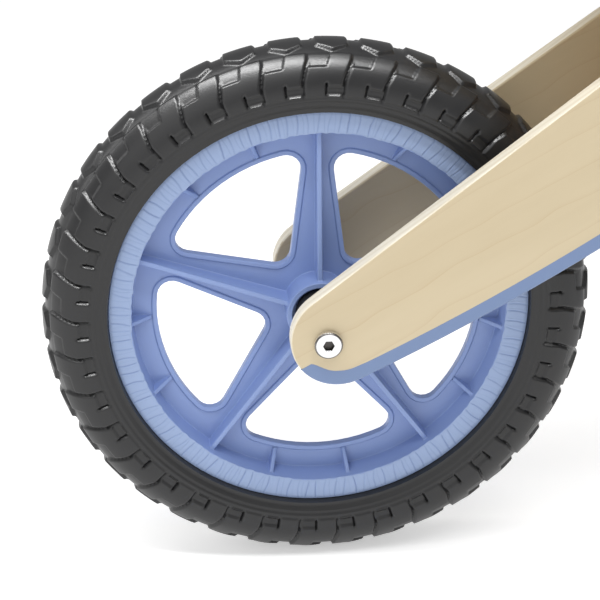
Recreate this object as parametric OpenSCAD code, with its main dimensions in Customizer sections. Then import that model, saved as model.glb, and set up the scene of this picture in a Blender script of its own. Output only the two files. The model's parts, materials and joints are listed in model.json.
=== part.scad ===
// Wooden balance bike: two foam-tyred plastic wheels, a plywood frame of two
// side plates that close in towards a pivoting head, a plywood fork with a
// turned handlebar, and a padded saddle on a sliding post.
// +X is forward, +Y is the rider's left, +Z is up. The origin lies on the
// floor, midway between the two axles.

/* [Wheels] */
// Outside diameter of the tyre
tyre_od = 288; // [260:1:320]
// Greatest width of the tyre
tyre_w = 42; // [36:1:50]
// Outside diameter of the rim's visible front band
rim_od = 220; // [200:1:226]
// Distance between the two outer faces of the rim
rim_w = 29.4; // [24:0.2:34]
// Radial width of the rim's front band
band_w = 11.7; // [8:0.1:14]
// Thickness of the rim's web
web_t = 3.4; // [2.4:0.2:5]
// Number of windows, and of main ribs, in the rim
window_count = 5; // [4:1:6]
// Radius of the windows' outer edge
window_r = 84.4; // [74:0.2:86]
// Outside diameter of the hub
hub_d = 35.4; // [32:0.2:42]
// Length of the hub
hub_l = 37; // [32:1:44]

/* [Axles] */
// Distance between the rear and the front axle
wheelbase = 530; // [500:1:620]
// Diameter of the axle tube
axle_d = 10; // [8:0.5:12]
// Diameter of the spacers beside each hub
spacer_d = 26; // [20:0.5:28]
// Diameter of the flat bolt heads
bolt_head_d = 14.6; // [12:0.2:18]
// Height of the flat bolt heads
bolt_head_h = 3.6; // [2.4:0.2:5]
// Thread diameter of the bolts
bolt_d = 6; // [4:0.5:6]

/* [Frame] */
// Thickness of the plywood plates
ply = 10; // [9:0.5:15]
// Distance between the two frame plates at the rear axle
axle_gap = 88; // [76:1:96]
// Radius of the rounded tail of each frame plate
tail_r = 25.3; // [22:0.1:30]
// Distance of the tail's centre ahead of the rear axle
tail_x = 6.3; // [0:0.1:10]
// Height of the tail's centre over the rear axle
tail_z = 1.3; // [0:0.1:4]
// Slope of the top edge ahead of the tail, in degrees
top_slope = 36.7; // [34:0.1:38]
// Slope of the bottom edge at the tail, in degrees
low_slope = 24; // [22:0.5:26]
// Diameter of the round braces between the frame plates
brace_d = 20; // [16:1:24]

/* [Steering] */
// Lean of the steering axis back from upright, in degrees
head_lean = 18; // [15:0.5:20]
// Height of the head block along the steering axis
head_h = 80; // [70:1:90]
// Thickness of the head block on the steering axis
head_t = 30; // [20:1:32]
// Diameter of the steering bolt
pin_d = 8; // [6:0.5:8]
// Gap between the tyre and the lower crown
crown_gap = 13; // [10:1:20]
// Height of each crown block along the steering axis
crown_h = 24; // [20:1:28]
// Distance between the two fork plates
fork_gap = 84; // [84:1:96]
// Width of the fork plates at the axle
fork_w = 44; // [40:1:48]
// Width of the fork plates at the handlebar
fork_top_w = 36; // [32:1:40]
// Distance from the front axle to the handlebar along the steering axis
bar_s = 400; // [380:1:430]

/* [Handlebar] */
// Diameter of the wooden handlebar
bar_d = 22; // [20:1:25]
// Length of the handlebar over the grips
bar_l = 370; // [330:1:420]
// Length of each grip
grip_l = 104; // [90:1:115]
// Outside diameter of the grips
grip_d = 30; // [28:1:34]

/* [Saddle] */
// Distance of the seat post ahead of the rear axle
seat_x = 197; // [190:1:204]
// Height of the underside of the saddle board over the rear axle, at its lowest
seat_z = 186; // [184:1:200]
// Travel of the saddle, from its lowest to its highest place
seat_travel = 30; // [20:1:32]
// Length of the saddle
saddle_l = 222; // [200:1:230]
// Width of the saddle at its rear
saddle_w = 136; // [110:1:150]
// Width of the saddle at its nose
nose_w = 60; // [50:1:80]
// Thickness of the saddle board
board_t = 9; // [6:1:12]
// Thickness of the saddle cushion
cushion_t = 30; // [20:1:40]
// Thickness of the seat post
post_t = 24; // [18:1:26]
// Fore-and-aft width of the seat post
post_w = 40; // [36:1:46]

/* [Fits] */
// Radial running clearance of the wheels on their axles and of the steering bolt
run_fit = 0.05; // [0.02:0.01:0.1]
// Gap between faces that slide or turn past each other
face_gap = 0.3; // [0.2:0.05:0.5]
// Radial clearance of a bolt or tube in its hole in the wood
hole_fit = 0.1; // [0.05:0.05:0.3]

/* [Hidden] */
$fn = 64;

wood = "#E0CDA6";
beech = "#D2AE7C";
blue = "#7F97CE";
black = "#2A2A2B";
steel = "#C9CBCF";

// ---- small parts ----
bush_d = axle_d + 6;
bush_l = 12;
bush_flange = 1.5;
bush_flange_d = bush_d + 6;
hub_recess = 6;
hub_wall = 3;
socket_d = 5;
socket_h = 2.2;
bolt_l = 22;
tube_inset = 1.5;

// ---- places shared by many pieces ----
rear_x = -wheelbase / 2;
front_x = wheelbase / 2;
axle_z = tyre_od / 2;
right = -1;
left = 1;

// the steering axis: p runs forward across it, s runs up along it from the front axle
crown_s0 = tyre_od / 2 + crown_gap;
head_s0 = crown_s0 + crown_h + bush_flange + face_gap;
head_s1 = head_s0 + head_h;
upper_s0 = head_s1 + bush_flange + face_gap;
head_back = 24;
head_front = 20;
function on_head(p, s) = [
    wheelbase + p * cos(head_lean) - s * sin(head_lean),
    p * sin(head_lean) + s * cos(head_lean)
];
head_x = on_head(0, (head_s0 + head_s1) / 2)[0];

// the frame plates close in from the rear axle to the head block
toe_in = (axle_gap - head_t) / 2 / head_x;
toe_angle = atan(toe_in);
function inner_y(x) = axle_gap / 2 - toe_in * x;
function outer_y(x) = inner_y(x) + ply / cos(toe_angle);
fork_in = fork_gap / 2;
fork_out = fork_in + ply;

// ---- helpers ----
// points of an arc, turning from angle a to angle b
function arc(c, r, a, b, n = 16) = [
    for (i = [0:n]) c + r * [cos(a + (b - a) * i / n), sin(a + (b - a) * i / n)]
];
function unit(v) = v / norm(v);
function turn(u, v) = atan2(u[0] * v[1] - u[1] * v[0], u * v);
// a corner at q, between p and s, rounded to radius r
function corner(p, q, s, r, n = 8) =
    let (u = unit(q - p), v = unit(s - q), t = turn(u, v), side = sign(t))
    let (cut = r * tan(abs(t) / 2), start = q - u * cut)
    let (c = start + side * r * [-u[1], u[0]], a = atan2(u[1], u[0]) - side * 90)
    arc(c, r, a, a + t, n);
// raise a drawn side view [x, z] into a plate standing in the XZ plane, from y0 to y1
module side_view(y0, y1) {
    translate([0, y1, 0])
        rotate([90, 0, 0])
            linear_extrude(height = y1 - y0)
                children();
}
// a cylinder along Y, from y0 to y1
module cross_rod(d, y0, y1) {
    translate([0, y0, 0])
        rotate([-90, 0, 0])
            cylinder(d = d, h = y1 - y0);
}
module at_rear_axle() {
    translate([rear_x, 0, axle_z]) children();
}
module at_front_axle() {
    translate([front_x, 0, axle_z]) children();
}
// the fork's frame: its Z runs up the steering axis from the front axle
module on_steering() {
    at_front_axle()
        rotate([0, -head_lean, 0])
            children();
}
// a bolt with a flat, chamfered head and a hexagon socket; its head rises from z = 0
module flat_bolt(l = bolt_l) {
    chamfer = 0.8;
    difference() {
        union() {
            translate([0, 0, -l]) cylinder(d = bolt_d, h = l);
            cylinder(d = bolt_head_d, h = bolt_head_h - chamfer);
            translate([0, 0, bolt_head_h - chamfer])
                cylinder(d1 = bolt_head_d, d2 = bolt_head_d - 2 * chamfer, h = chamfer);
        }
        translate([0, 0, bolt_head_h - socket_h])
            cylinder(d = socket_d / cos(30), h = socket_h + 1, $fn = 6);
    }
}
// the same bolt at [x, y, z], pointing in from the given side
module bolt_in(x, y, z, side, l = bolt_l) {
    translate([x, side * y, z])
        rotate([-90 * side, 0, 0])
            flat_bolt(l);
}
// a threaded tube along Y for two bolts
module cross_tube(d, half) {
    difference() {
        cross_rod(d, -half, half);
        cross_rod(bolt_d + 2 * run_fit, -half - 1, half + 1);
    }
}

// ---- frame ----
// side view of a frame plate, measured from the rear axle
low_r = 1200;
low_steep = 31.5;
low_start = [tail_x, tail_z] + tail_r * [sin(low_slope), -cos(low_slope)];
low_c = low_start + low_r * [-sin(low_slope), cos(low_slope)];
low_end = low_c + low_r * [sin(low_steep), -cos(low_steep)];
top_start = [tail_x, tail_z] + tail_r * [-sin(top_slope), cos(top_slope)];
top_dir = [cos(top_slope), sin(top_slope)];
hump_x = 168;
knee_run = 58;
dip_x = 310;
dip_drop = 8;
knee_r = 160;
nose_r = 8;
neck_r = 60;
dip_r = 130;
hump_r = 90;
saddle_dip = [dip_x, seat_z - dip_drop];
knee = low_end + knee_run * [cos(low_steep), sin(low_steep)];
hump = top_start + top_dir * (hump_x - top_start[0]) / top_dir[0];
nose_low = on_head(head_front, head_s0);
nose_top = on_head(head_front, head_s1);
neck_low = on_head(-head_back, head_s0);
neck_top = on_head(-head_back, head_s1);
plate_outline = concat(
    arc([tail_x, tail_z], tail_r, 90 + top_slope, 270 + low_slope, 28),
    arc(low_c, low_r, 270 + low_slope, 270 + low_steep, 10),
    corner(low_end, knee, neck_low, knee_r),
    corner(knee, neck_low, nose_low, neck_r, 3),
    corner(neck_low, nose_low, nose_top, nose_r),
    corner(nose_low, nose_top, neck_top, nose_r),
    corner(nose_top, neck_top, saddle_dip, neck_r, 4),
    corner(neck_top, saddle_dip, hump, dip_r),
    corner(saddle_dip, hump, top_start, hump_r)
);
// cross holes of both plates: [x, z, diameter], from the rear axle
brace_spots = [[158, 74], [338, 158]];
head_bolt_back = 15;
head_bolt_in = 20;
head_bolt_spots = [
    on_head(-head_bolt_back, head_s0 + head_bolt_in),
    on_head(-head_bolt_back, head_s1 - head_bolt_in)
];
clamp_spots = [[seat_x, 118], [seat_x, 140]];
clamp_tube_d = bolt_d + 2;
brace_bolt_l = 24;
clamp_bolt_l = 12;

// a plan-view slice between two skew faces, y = inner(x) to y = outer(x)
module skew_slab(side, near, far) {
    x0 = -60;
    x1 = wheelbase;
    translate([rear_x, 0, 0])
        linear_extrude(height = 2 * bar_s)
            polygon([
                [x0, side * near(x0)], [x1, side * near(x1)],
                [x1, side * far(x1)], [x0, side * far(x0)]
            ]);
}
module between_plates() {
    skew_slab(1, function(x) -inner_y(x), function(x) inner_y(x));
}
module frame_plate(side) {
    color(wood) difference() {
        intersection() {
            at_rear_axle() side_view(-axle_gap, axle_gap) polygon(plate_outline);
            skew_slab(side, function(x) inner_y(x), function(x) outer_y(x));
        }
        at_rear_axle() {
            cross_rod(axle_d + 2 * hole_fit, -axle_gap, axle_gap);
            for (h = brace_spots)
                translate([h[0], 0, h[1]])
                    cross_rod(bolt_d + 2 * hole_fit, -axle_gap, axle_gap);
            for (h = concat(head_bolt_spots, clamp_spots))
                translate([h[0], 0, h[1]])
                    cross_rod(clamp_tube_d + 2 * hole_fit, -axle_gap, axle_gap);
        }
    }
}
module frame_plate_right() { frame_plate(right); }
module frame_plate_left() { frame_plate(left); }

bush_seat_l = 15;
pin_bush_d = pin_d + 4;
module head_block() {
    color(beech) difference() {
        intersection() {
            at_rear_axle()
                side_view(-axle_gap, axle_gap)
                    polygon([nose_low, nose_top, neck_top, neck_low]);
            between_plates();
        }
        on_steering() {
            translate([0, 0, head_s0 - 1]) cylinder(d = pin_d + 1, h = head_h + 2);
            translate([0, 0, head_s0 - 1]) cylinder(d = pin_bush_d, h = bush_seat_l + 1);
            translate([0, 0, head_s1 - bush_seat_l]) cylinder(d = pin_bush_d, h = bush_seat_l + 1);
        }
        at_rear_axle()
            for (h = head_bolt_spots)
                translate([h[0], 0, h[1]])
                    cross_rod(clamp_tube_d + 2 * hole_fit, -axle_gap, axle_gap);
    }
}
// the largest half width over the plates where a bolt head lies on them
function head_seat(x) = outer_y(x - bolt_head_d / 2);
// two bolts and the threaded tube that they meet in, through both plates
module through_tube(x, z, d) {
    at_rear_axle()
        translate([x, 0, z])
            cross_tube(d, outer_y(x) - tube_inset);
}
module through_bolts(x, z, l = bolt_l) {
    at_rear_axle()
        for (side = [right, left])
            bolt_in(x, head_seat(x), z, side, l);
}
head_bolt_l = 12;
module head_bolts() {
    color(steel)
        for (h = head_bolt_spots) {
            through_tube(h[0], h[1], clamp_tube_d);
            through_bolts(h[0], h[1], head_bolt_l);
        }
}
module head_bush(s, up) {
    color(black) on_steering()
        translate([0, 0, s])
            mirror([0, 0, up ? 0 : 1])
                difference() {
                    union() {
                        cylinder(d = pin_bush_d + 6, h = bush_flange);
                        translate([0, 0, -bush_seat_l]) cylinder(d = pin_bush_d, h = bush_seat_l);
                    }
                    translate([0, 0, -bush_seat_l - 1])
                        cylinder(d = pin_d + 2 * run_fit, h = bush_seat_l + bush_flange + 2);
                }
}
module head_bush_lower() { head_bush(head_s0, false); }
module head_bush_upper() { head_bush(head_s1, true); }

module brace(x, z) {
    color(beech) difference() {
        intersection() {
            at_rear_axle() translate([x, 0, z]) cross_rod(brace_d, -axle_gap, axle_gap);
            between_plates();
        }
        at_rear_axle()
            for (side = [right, left])
                translate([x, 0, z])
                    rotate([-90 * side, 0, 0])
                        translate([0, 0, head_seat(x) - brace_bolt_l - 2])
                            cylinder(d = bolt_d + 2 * hole_fit, h = brace_bolt_l + 10);
    }
}
module rear_brace() { brace(brace_spots[0][0], brace_spots[0][1]); }
module front_brace() { brace(brace_spots[1][0], brace_spots[1][1]); }
module brace_bolts() {
    color(steel) {
        for (h = brace_spots)
            through_bolts(h[0], h[1], brace_bolt_l);
    }
}

// ---- wheels ----
// shapes that turn about the wheel's axle are drawn about Z, whose top is the right side
module wheel_axis() {
    rotate([90, 0, 0]) children();
}
rim_r = rim_od / 2;
rim_inner = rim_r - band_w;
wall_draft = 1.3;
seat_depth = 5.5;
flange_w = 3.2;
lip_h = 2.6;
lip_w = 2.6;
window_round = 7.8;
spoke_root = 15.5;
spoke_taper = 7.1;
rib_t = 2.6;
rib_h_hub = 15.8;
rib_h_rim = 10.4;
gusset_t = 2.2;
gusset_foot = 1.2;
gusset_h = 12.9;
gusset_angles = [20.7, 45.1];
sector = 360 / window_count;

module ring_profile() {
    polygon([
        [rim_inner, rim_w / 2], [rim_r, rim_w / 2],
        [rim_r, rim_w / 2 - flange_w], [rim_r - seat_depth, rim_w / 2 - flange_w],
        [rim_r - seat_depth, flange_w - rim_w / 2], [rim_r, flange_w - rim_w / 2],
        [rim_r, -rim_w / 2], [rim_inner, -rim_w / 2],
        [rim_inner - wall_draft, -web_t / 2], [rim_inner - wall_draft, web_t / 2]
    ]);
}
// one window, centred on the X axis: two straight sides, an outer arc and round
// corners. A grown outline stands that much further out all round.
// The spokes are spoke_root wide each way at the hub, and narrow outwards.
window_half = sector / 2 + spoke_taper;
window_point = (spoke_root + hub_d / 2 * tan(spoke_taper))
    / (sin(sector / 2) + cos(sector / 2) * tan(spoke_taper));
window_tip = window_point + window_round / sin(window_half);
window_run = sqrt(pow(window_r - window_round, 2) - pow(window_tip * sin(window_half), 2))
    - window_tip * cos(window_half);
window_corner = [window_tip + window_run * cos(window_half), window_run * sin(window_half)];
window_turn = atan2(window_corner[1], window_corner[0]);
module window(grow = 0) {
    r = window_round + grow;
    side = 90 + window_half;
    polygon(concat(
        arc([window_corner[0], -window_corner[1]], r, -side, -window_turn, 6),
        arc([0, 0], window_r + grow, -window_turn, window_turn, 12),
        arc(window_corner, r, window_turn, side, 6),
        arc([window_tip, 0], r, side, 360 - side, 6)
    ));
}
// a rib that stands on the web along the X axis, shown as [radius, height] corners
module radial_rib(thickness, r0, h0, r1, h1) {
    rotate([90, 0, 0])
        linear_extrude(height = thickness, center = true)
            polygon([[r0, -h0], [r1, -h1], [r1, h1], [r0, h0]]);
}
module rim() {
    color(blue) wheel_axis()
        difference() {
            union() {
                rotate_extrude($fn = 128) ring_profile();
                cylinder(r = rim_inner, h = web_t, center = true, $fn = 128);
                for (k = [0:window_count - 1]) rotate(90 + k * sector) {
                    rotate(sector / 2)
                        linear_extrude(height = 2 * lip_h, center = true)
                            window(lip_w);
                    radial_rib(rib_t, hub_d / 2 - 2, rib_h_hub, rim_inner + 1, rib_h_rim);
                    for (a = gusset_angles)
                        rotate(a)
                            radial_rib(gusset_t, window_r + lip_w / 2, gusset_foot, rim_inner + 1, gusset_h);
                }
                cylinder(d = hub_d, h = hub_l, center = true);
            }
            for (k = [0:window_count - 1])
                rotate(90 + (k + 0.5) * sector)
                    linear_extrude(height = 4 * lip_h, center = true)
                        window();
            translate([0, 0, -hub_l]) cylinder(d = bush_d, h = 2 * hub_l);
            for (s = [0, 1]) mirror([0, 0, s])
                translate([0, 0, hub_l / 2 - hub_recess])
                    cylinder(d = hub_d - 2 * hub_wall, h = hub_recess + 1);
        }
}
// tyre section: an oval that swells out beside the rim's flanges
tyre_tall = 43;
tyre_c = (tyre_od - tyre_tall) / 2;
tyre_rad = tyre_od / 2 - tyre_c;
tyre_foot = 118;
module tyre() {
    foot = [tyre_c + tyre_rad * cos(tyre_foot), tyre_w / 2 * sin(tyre_foot)];
    color(black) wheel_axis()
        rotate_extrude($fn = 128)
            polygon(concat(
                [[rim_r, -rim_w / 2], [rim_r + 0.6, -foot[1]]],
                [for (i = [0:30]) let (a = tyre_foot * (i / 15 - 1))
                    [tyre_c + tyre_rad * cos(a), tyre_w / 2 * sin(a)]],
                [[rim_r + 0.6, foot[1]], [rim_r, rim_w / 2]],
                [[rim_r, rim_w / 2 - flange_w], [rim_r - seat_depth, rim_w / 2 - flange_w]],
                [[rim_r - seat_depth, flange_w - rim_w / 2], [rim_r, flange_w - rim_w / 2]]
            ));
}
bush_face = hub_l / 2 - hub_recess;
// a flanged bush in the hub's end
module wheel_bush(side) {
    color("white") wheel_axis()
        mirror([0, 0, side == right ? 0 : 1])
            translate([0, 0, bush_face])
                difference() {
                    union() {
                        cylinder(d = bush_flange_d, h = bush_flange);
                        translate([0, 0, -bush_l]) cylinder(d = bush_d, h = bush_l);
                    }
                    translate([0, 0, -bush_l - 1])
                        cylinder(d = axle_d + 2 * run_fit, h = bush_l + bush_flange + 2);
                }
}
module spacer(side, y1) {
    y0 = bush_face + bush_flange + face_gap;
    color(black) mirror([0, side == right ? 1 : 0, 0])
        difference() {
            cross_rod(spacer_d, y0, y1);
            cross_rod(axle_d + 2 * hole_fit, y0 - 1, y1 + 1);
        }
}
module rear_rim() { at_rear_axle() rim(); }
module rear_tyre() { at_rear_axle() tyre(); }
module rear_bush_right() { at_rear_axle() wheel_bush(right); }
module rear_bush_left() { at_rear_axle() wheel_bush(left); }
module rear_spacer(side) {
    intersection() {
        at_rear_axle() spacer(side, axle_gap);
        between_plates();
    }
}
module rear_spacer_right() { color(black) rear_spacer(right); }
module rear_spacer_left() { color(black) rear_spacer(left); }
module rear_axle_tube() { color(steel) through_tube(0, 0, axle_d); }
module rear_axle_bolts() { color(steel) through_bolts(0, 0); }

module front_rim() { at_front_axle() rim(); }
module front_tyre() { at_front_axle() tyre(); }
module front_bush_right() { at_front_axle() wheel_bush(right); }
module front_bush_left() { at_front_axle() wheel_bush(left); }
module front_spacer_right() { at_front_axle() spacer(right, fork_in); }
module front_spacer_left() { at_front_axle() spacer(left, fork_in); }
module front_axle_tube() { color(steel) at_front_axle() cross_tube(axle_d, fork_out - tube_inset); }
module front_axle_bolts() {
    color(steel) at_front_axle()
        for (side = [right, left])
            bolt_in(0, fork_out, 0, side);
}

// ---- fork ----
crown_w = 36;
crown_bolt_l = 40;
crown_bolt_p = [-9, 9];
crown_mid = [crown_s0 + crown_h / 2, upper_s0 + crown_h / 2];
fork_tilt = asin((fork_w - fork_top_w) / 2 / bar_s);
fork_outline = concat(
    arc([0, 0], fork_w / 2, 180 - fork_tilt, 360 + fork_tilt, 24),
    arc([0, bar_s], fork_top_w / 2, fork_tilt, 180 - fork_tilt, 24)
);
bar_pin_d = 4;
module bar_pin_cut(y, extra) {
    translate([0, y, bar_s])
        rotate([0, 90, 0])
            cylinder(d = bar_pin_d + extra, h = fork_top_w / 2 + extra - 1);
}
module fork_plate(side) {
    y = side * (fork_in + ply / 2);
    color(wood) on_steering() difference() {
        side_view(y - ply / 2, y + ply / 2) polygon(fork_outline);
        cross_rod(axle_d + 2 * hole_fit, -2 * fork_out, 2 * fork_out);
        translate([0, 0, bar_s]) cross_rod(bar_d, -2 * fork_out, 2 * fork_out);
        for (s = crown_mid, p = crown_bolt_p)
            translate([p, 0, s])
                cross_rod(bolt_d + 2 * hole_fit, -2 * fork_out, 2 * fork_out);
        bar_pin_cut(y, 2 * hole_fit + 1);
    }
}
module fork_plate_right() { fork_plate(right); }
module fork_plate_left() { fork_plate(left); }

bolt_sink = 6;
module crown(s0) {
    translate([-crown_w / 2, -fork_in, s0]) cube([crown_w, 2 * fork_in, crown_h]);
}
module crown_bores(s0) {
    translate([0, 0, s0 - 1]) cylinder(d = pin_d + 2 * hole_fit, h = crown_h + 2);
    for (side = [right, left], p = crown_bolt_p)
        translate([p, 0, s0 + crown_h / 2])
            rotate([-90 * side, 0, 0])
                translate([0, 0, fork_out - crown_bolt_l - 1])
                    cylinder(d = bolt_d + 2 * hole_fit, h = crown_bolt_l);
}
module lower_crown() {
    color(beech) on_steering() difference() {
        crown(crown_s0);
        crown_bores(crown_s0);
        translate([0, 0, crown_s0 - 1]) cylinder(d = 2 * pin_d + 1, h = bolt_sink + 1);
    }
}
module upper_crown() {
    color(beech) on_steering() difference() {
        crown(upper_s0);
        crown_bores(upper_s0);
    }
}
module crown_bolts() {
    color(steel) on_steering()
        for (side = [right, left], s = crown_mid, p = crown_bolt_p)
            bolt_in(p, fork_out, s, side, crown_bolt_l);
}
stem_top = upper_s0 + crown_h;
washer_t = 1.6;
nut_h = 6.5;
module steering_bolt() {
    color(steel) on_steering() {
        translate([0, 0, crown_s0 + 1]) cylinder(d = 2 * pin_d, h = bolt_sink - 1);
        translate([0, 0, crown_s0 + bolt_sink])
            cylinder(d = pin_d, h = stem_top + washer_t + nut_h - crown_s0 - bolt_sink);
    }
}
module steering_washer() {
    color(steel) on_steering() translate([0, 0, stem_top]) difference() {
        cylinder(d = 2 * pin_d + 4, h = washer_t);
        translate([0, 0, -1]) cylinder(d = pin_d + 2 * hole_fit, h = washer_t + 2);
    }
}
module steering_nut() {
    dome = pin_d * 0.75;
    color(steel) on_steering() translate([0, 0, stem_top + washer_t]) difference() {
        union() {
            cylinder(d = 1.6 * pin_d / cos(30), h = nut_h, $fn = 6);
            translate([0, 0, nut_h]) intersection() {
                sphere(r = dome);
                cylinder(r = dome + 1, h = dome + 1);
            }
        }
        translate([0, 0, -1]) cylinder(d = pin_d + 2 * run_fit, h = nut_h + 1.5);
    }
}

// ---- handlebar ----
grip_end = 4;
grip_collar_w = 4;
grip_knob_w = 10;
module handlebar() {
    half = bar_l / 2 - grip_end;
    color(beech) on_steering() difference() {
        translate([0, 0, bar_s]) cross_rod(bar_d, -half, half);
        for (side = [right, left])
            bar_pin_cut(side * (fork_in + ply / 2), 2 * hole_fit);
    }
}
module bar_pins() {
    color(steel) on_steering()
        for (side = [right, left])
            bar_pin_cut(side * (fork_in + ply / 2), 0);
}
// a grip along +Z, from its inner collar to its closed end
module grip_body() {
    difference() {
        union() {
            cylinder(d = grip_d, h = grip_l);
            cylinder(d = grip_d + 8, h = grip_collar_w);
            translate([0, 0, grip_l - grip_knob_w])
                rotate_extrude()
                    polygon(concat(
                        [[0, 0]],
                        [for (i = [0:8]) let (a = i * 22.5 - 90)
                            [grip_d / 2 + 5 * cos(a), grip_knob_w / 2 * (1 + sin(a))]],
                        [[0, grip_knob_w]]
                    ));
        }
        translate([0, 0, -1]) cylinder(d = bar_d, h = grip_l - grip_end + 1);
    }
}
module grip(side) {
    color(black) on_steering()
        translate([0, side * (bar_l / 2 - grip_l), bar_s])
            rotate([-90 * side, 0, 0])
                grip_body();
}
module grip_right() { grip(right); }
module grip_left() { grip(left); }

// ---- saddle ----
cheek_w = 56;
cheek_z = [92, 150];
slot_gap = 0.3;
slot_wall = 9;
post_low = clamp_spots[0][1] - seat_travel - clamp_tube_d / 2 - slot_gap - slot_wall;
module seat_cheek(side) {
    color(beech) difference() {
        intersection() {
            skew_slab(side, function(x) post_t / 2 + face_gap, function(x) inner_y(x));
            at_rear_axle()
                translate([seat_x - cheek_w / 2, -axle_gap, cheek_z[0]])
                    cube([cheek_w, 2 * axle_gap, cheek_z[1] - cheek_z[0]]);
        }
        at_rear_axle()
            for (h = clamp_spots)
                translate([h[0], 0, h[1]])
                    cross_rod(clamp_tube_d + 2 * hole_fit, -axle_gap, axle_gap);
    }
}
module seat_cheek_right() { seat_cheek(right); }
module seat_cheek_left() { seat_cheek(left); }
module seat_clamp_tubes() {
    color(steel)
        for (h = clamp_spots)
            through_tube(h[0], h[1], clamp_tube_d);
}
module seat_clamp_bolts() {
    color(steel)
        for (h = clamp_spots)
            through_bolts(h[0], h[1], clamp_bolt_l);
}
screw_d = 4;
screw_l = 30;
screw_x = [-11, 11];
module seat_post() {
    slot_d = clamp_tube_d + 2 * slot_gap;
    slot_low = clamp_spots[0][1] - seat_travel;
    slot_top = clamp_spots[1][1];
    color(beech) at_rear_axle() difference() {
        translate([seat_x - post_w / 2, -post_t / 2, post_low])
            cube([post_w, post_t, seat_z - post_low]);
        for (z = [slot_low, slot_top])
            translate([seat_x, 0, z]) cross_rod(slot_d, -post_t, post_t);
        translate([seat_x - slot_d / 2, -post_t, slot_low])
            cube([slot_d, 2 * post_t, slot_top - slot_low]);
        for (x = screw_x)
            translate([seat_x + x, 0, seat_z + board_t - screw_l])
                cylinder(d = screw_d + 2 * hole_fit, h = screw_l + 1);
    }
}
// plan of the saddle: wide and full behind, narrowing to a rounded nose
saddle_shift = -5;
saddle_full = 3.2;
function smooth(u) = u * u * (3 - 2 * u);
function saddle_half(u) =
    (saddle_w + (nose_w - saddle_w) * smooth(u)) / 2 * pow(1 - pow(abs(2 * u - 1), saddle_full), 1 / saddle_full);
saddle_n = 36;
module saddle_plan() {
    u = [for (i = [0:saddle_n]) 0.5 - 0.5 * cos(180 * i / saddle_n)];
    translate([seat_x + saddle_shift - saddle_l / 2, 0])
        polygon(concat(
            [for (v = u) [v * saddle_l, -saddle_half(v)]],
            [for (i = [saddle_n - 1:-1:1]) [u[i] * saddle_l, saddle_half(u[i])]]
        ));
}
module saddle_board() {
    color(wood) at_rear_axle() difference() {
        translate([0, 0, seat_z]) linear_extrude(height = board_t) saddle_plan();
        for (x = screw_x)
            translate([seat_x + x, 0, seat_z - 1])
                cylinder(d = screw_d + 2 * hole_fit, h = board_t + 2);
    }
}
module saddle_screws() {
    color(steel) at_rear_axle()
        for (x = screw_x)
            translate([seat_x + x, 0, seat_z + board_t - screw_l])
                cylinder(d = screw_d, h = screw_l);
}
module saddle_cushion() {
    color(black) at_rear_axle()
        translate([0, 0, seat_z + board_t])
            linear_extrude(height = cushion_t)
                saddle_plan();
}

frame_plate_right();
frame_plate_left();
head_block();
head_bolts();
head_bush_lower();
head_bush_upper();
rear_brace();
front_brace();
brace_bolts();
seat_cheek_right();
seat_cheek_left();
seat_clamp_tubes();
seat_clamp_bolts();
rear_axle_tube();
rear_axle_bolts();
rear_spacer_right();
rear_spacer_left();
rear_rim();
rear_tyre();
rear_bush_right();
rear_bush_left();
fork_plate_right();
fork_plate_left();
lower_crown();
upper_crown();
crown_bolts();
steering_bolt();
steering_washer();
steering_nut();
front_axle_tube();
front_axle_bolts();
front_spacer_right();
front_spacer_left();
front_rim();
front_tyre();
front_bush_right();
front_bush_left();
handlebar();
bar_pins();
grip_right();
grip_left();
seat_post();
saddle_board();
saddle_screws();
saddle_cushion();
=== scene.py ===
# %% [markdown]
# A wooden balance bike, dressed for the studio.
# The measured model holds every real dimension of the bike, as plain solids
# with true sizes. This lesson keeps those sizes and gives each piece what a
# solid model lacks: rounded edges, tread, wrinkles, padding and a real finish.
# Lengths are in metres. X is forward, Y is the rider's left and Z is up.

# %% Load the measured bike
import json
import math
import random

import bmesh
import bpy
import numpy as np
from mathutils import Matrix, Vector


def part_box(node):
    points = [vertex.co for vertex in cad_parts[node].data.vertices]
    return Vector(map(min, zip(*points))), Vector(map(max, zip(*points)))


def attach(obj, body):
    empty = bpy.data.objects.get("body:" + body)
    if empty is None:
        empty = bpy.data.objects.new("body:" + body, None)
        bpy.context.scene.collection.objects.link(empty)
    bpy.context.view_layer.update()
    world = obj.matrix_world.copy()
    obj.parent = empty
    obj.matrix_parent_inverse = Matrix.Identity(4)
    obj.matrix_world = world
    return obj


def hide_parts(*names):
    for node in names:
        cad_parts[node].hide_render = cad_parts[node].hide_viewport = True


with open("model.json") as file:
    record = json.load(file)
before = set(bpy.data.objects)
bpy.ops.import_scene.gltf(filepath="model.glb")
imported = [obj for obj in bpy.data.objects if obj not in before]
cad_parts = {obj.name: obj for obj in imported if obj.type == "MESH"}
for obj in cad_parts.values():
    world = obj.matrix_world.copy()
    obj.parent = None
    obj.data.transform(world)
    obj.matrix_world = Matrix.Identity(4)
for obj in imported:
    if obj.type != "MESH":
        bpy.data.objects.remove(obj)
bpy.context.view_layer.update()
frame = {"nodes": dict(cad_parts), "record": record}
mm = 0.001
rear_axle = sum((Vector(corner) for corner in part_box("rear_rim")), Vector()) / 2
front_axle = sum((Vector(corner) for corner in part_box("front_rim")), Vector()) / 2
print("axles at", rear_axle[:], front_axle[:])

# %% [markdown]
# The viewpoint comes first, because everything after it is judged from there.
# A long lens keeps the wheel round and the plates nearly parallel, as in a
# catalogue picture. Its place and three angles are written out: how far it
# tips down, how little it rolls, and how far it turns to the side.

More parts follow.
